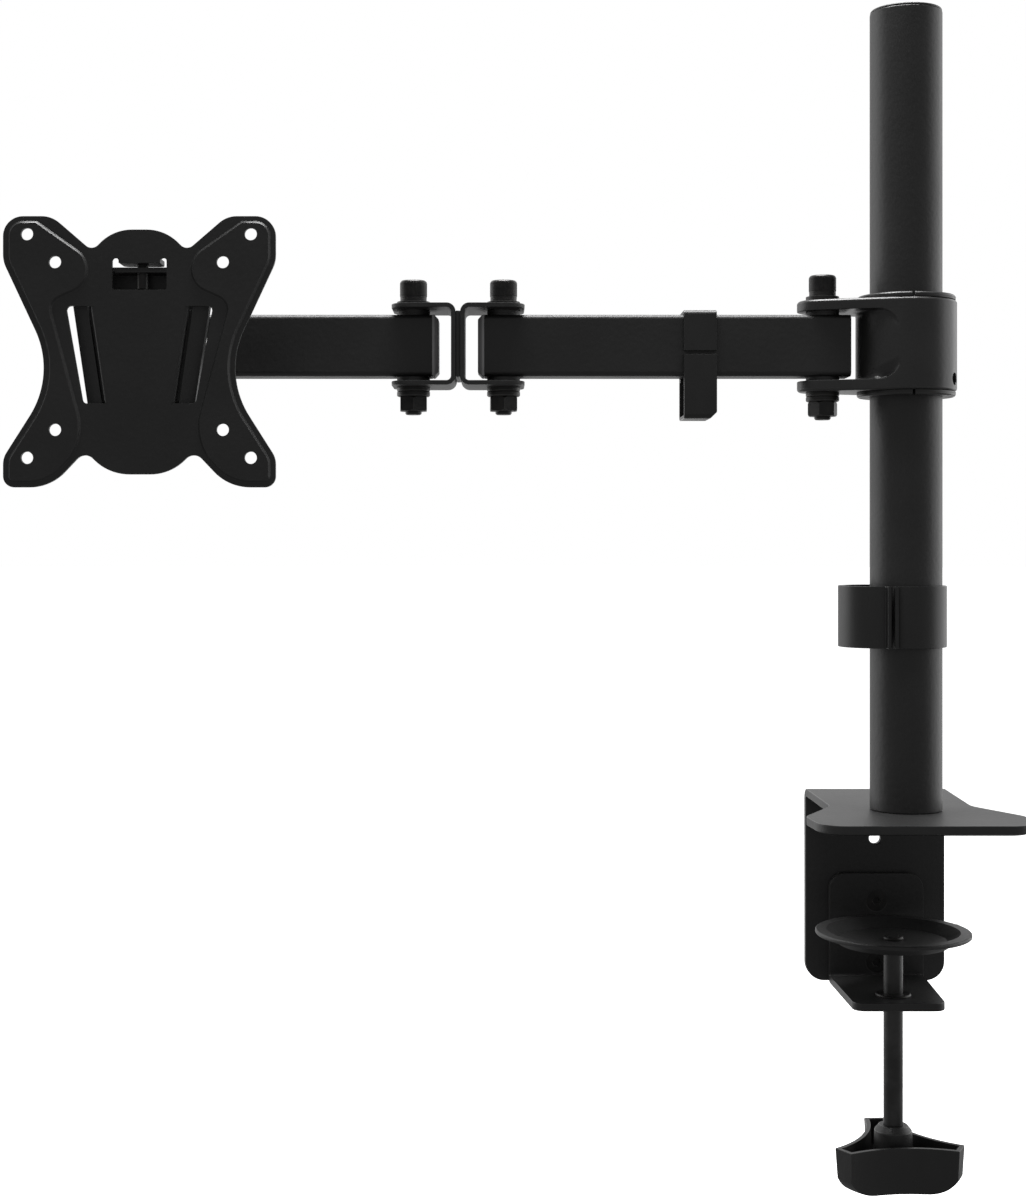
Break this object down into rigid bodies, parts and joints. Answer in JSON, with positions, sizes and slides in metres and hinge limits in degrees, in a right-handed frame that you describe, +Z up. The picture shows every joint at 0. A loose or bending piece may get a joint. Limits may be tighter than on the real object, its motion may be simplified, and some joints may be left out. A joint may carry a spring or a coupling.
{
  "type": "desk clamp monitor arm",
  "caption": "Black desk-clamped pole with a sliding collar and a folding arm that ends in a tilting, turning quick-release screen plate.",
  "frame": {"origin": "on the pole's axis, on the underside of the foam pad that rests on the desk", "axes": "+Z up along the pole; the screen plate faces -Y; the arm reaches out along -X"},
  "size_m": [0.4747, 0.164, 0.5865],
  "materials": {
    "black_powder_coat": "fine textured black powder coat",
    "black_nylon": "moulded black nylon, satin",
    "grey_black_nylon": "moulded dark nylon, matt",
    "black_foam": "closed-cell black foam",
    "black_oxide_steel": "black oxide on steel, lightly oiled",
    "dark_zinc_steel": "black zinc plate, turned"
  },
  "bodies": {
    "clamp_and_pole": {"clamp_bracket": "black_powder_coat", "desk_pad": "black_foam", "pole_tube": "black_powder_coat", "pole_cap": "black_nylon", "pole_base_plug": "dark_zinc_steel", "pole_bolt": "black_oxide_steel", "jaw_bracket": "black_powder_coat", "jaw_screws": "black_oxide_steel", "jaw_thread_insert": "dark_zinc_steel"},
    "pressure_cup": {"pressure_cup": "black_powder_coat"},
    "spindle": {"spindle": "dark_zinc_steel", "cup_retainer": "black_oxide_steel", "knob": "black_nylon"},
    "pole_clip": {"pole_clip": "black_nylon"},
    "height_sleeve": {"upper_bush": "black_nylon", "lower_bush": "black_nylon"},
    "collar": {"collar": "black_powder_coat", "collar_set_screw": "black_oxide_steel", "collar_bolt": "black_oxide_steel", "collar_nut": "black_oxide_steel", "collar_washers": "black_oxide_steel", "collar_thrust_washers": "grey_black_nylon"},
    "inner_arm": {"inner_arm_tube": "black_powder_coat", "inner_arm_bushings": "grey_black_nylon", "inner_arm_end_cap": "grey_black_nylon", "inner_arm_plug": "grey_black_nylon"},
    "arm_clip": {"arm_clip": "black_nylon"},
    "elbow_link": {"inner_elbow_bracket": "black_powder_coat", "outer_elbow_bracket": "black_powder_coat", "elbow_spacer": "black_powder_coat", "elbow_bolts": "black_oxide_steel", "elbow_nuts": "black_oxide_steel", "elbow_washers": "black_oxide_steel", "elbow_thrust_washers": "grey_black_nylon"},
    "outer_arm": {"outer_arm_tube": "black_powder_coat", "outer_arm_bushings": "grey_black_nylon", "outer_arm_end_caps": "grey_black_nylon"},
    "swivel_head": {"swivel_yoke": "black_powder_coat", "swivel_bolt": "black_oxide_steel", "swivel_nut": "black_oxide_steel", "swivel_washers": "black_oxide_steel", "swivel_thrust_washers": "grey_black_nylon", "tilt_yoke": "black_powder_coat", "yoke_rivets": "black_oxide_steel", "tilt_bolt": "black_oxide_steel", "tilt_nut": "black_oxide_steel", "tilt_washers": "black_oxide_steel", "tilt_friction_washers": "grey_black_nylon"},
    "tilt_head": {"tilt_bracket": "black_powder_coat", "tilt_spacer": "black_oxide_steel", "rotation_bolt": "black_oxide_steel", "rotation_nut": "black_oxide_steel", "rotation_washers": "black_oxide_steel"},
    "rotor": {"release_bracket": "black_powder_coat"},
    "screen_plate": {"vesa_plate": "black_powder_coat", "lock_screw": "black_oxide_steel"}
  },
  "joints": [
    {"name": "clamp_lift", "type": "slide", "parent": "clamp_and_pole", "child": "pressure_cup", "axis": [0, 0, 1], "range_m": [-0.022, 0.055]},
    {"name": "spindle_turn", "type": "hinge", "parent": "pressure_cup", "child": "spindle", "pos_m": [0, 0.03, -0.07], "axis": [0, 0, 1], "continuous": true},
    {"name": "pole_clip_slide", "type": "slide", "parent": "clamp_and_pole", "child": "pole_clip", "axis": [0, 0, 1], "range_m": [-0.065, 0.075]},
    {"name": "collar_height", "type": "slide", "parent": "clamp_and_pole", "child": "height_sleeve", "axis": [0, 0, 1], "range_m": [-0.075, 0.135]},
    {"name": "collar_swing", "type": "hinge", "parent": "height_sleeve", "child": "collar", "pos_m": [0, 0, 0.232], "axis": [0, 0, 1], "continuous": true},
    {"name": "inner_arm_swing", "type": "hinge", "parent": "collar", "child": "inner_arm", "pos_m": [-0.041, 0, 0.232], "axis": [0, 0, -1], "range_deg": [-90, 90]},
    {"name": "arm_clip_slide", "type": "slide", "parent": "inner_arm", "child": "arm_clip", "axis": [1, 0, 0], "range_m": [-0.06, 0.03]},
    {"name": "elbow_swing", "type": "hinge", "parent": "inner_arm", "child": "elbow_link", "pos_m": [-0.1976, 0, 0.232], "axis": [0, 0, 1], "range_deg": [-90, 90]},
    {"name": "outer_arm_swing", "type": "hinge", "parent": "elbow_link", "child": "outer_arm", "pos_m": [-0.2418, 0, 0.232], "axis": [0, 0, -1], "range_deg": [-90, 90]},
    {"name": "head_swivel", "type": "hinge", "parent": "outer_arm", "child": "swivel_head", "pos_m": [-0.361, 0, 0.232], "axis": [0, 0, 1], "range_deg": [-90, 22]},
    {"name": "head_tilt", "type": "hinge", "parent": "swivel_head", "child": "tilt_head", "pos_m": [-0.361, -0.054, 0.2245], "axis": [1, 0, 0], "range_deg": [-40, 40]},
    {"name": "screen_rotation", "type": "hinge", "parent": "tilt_head", "child": "rotor", "pos_m": [-0.361, -0.075, 0.2245], "axis": [0, 1, 0], "continuous": true},
    {"name": "plate_release", "type": "slide", "parent": "rotor", "child": "screen_plate", "axis": [0, 0, 1], "range_m": [0, 0.022]}
  ],
  "couplings": [
    {"joint": "spindle_turn", "follows": "clamp_lift", "rad_per_m": 4188.8}
  ]
}
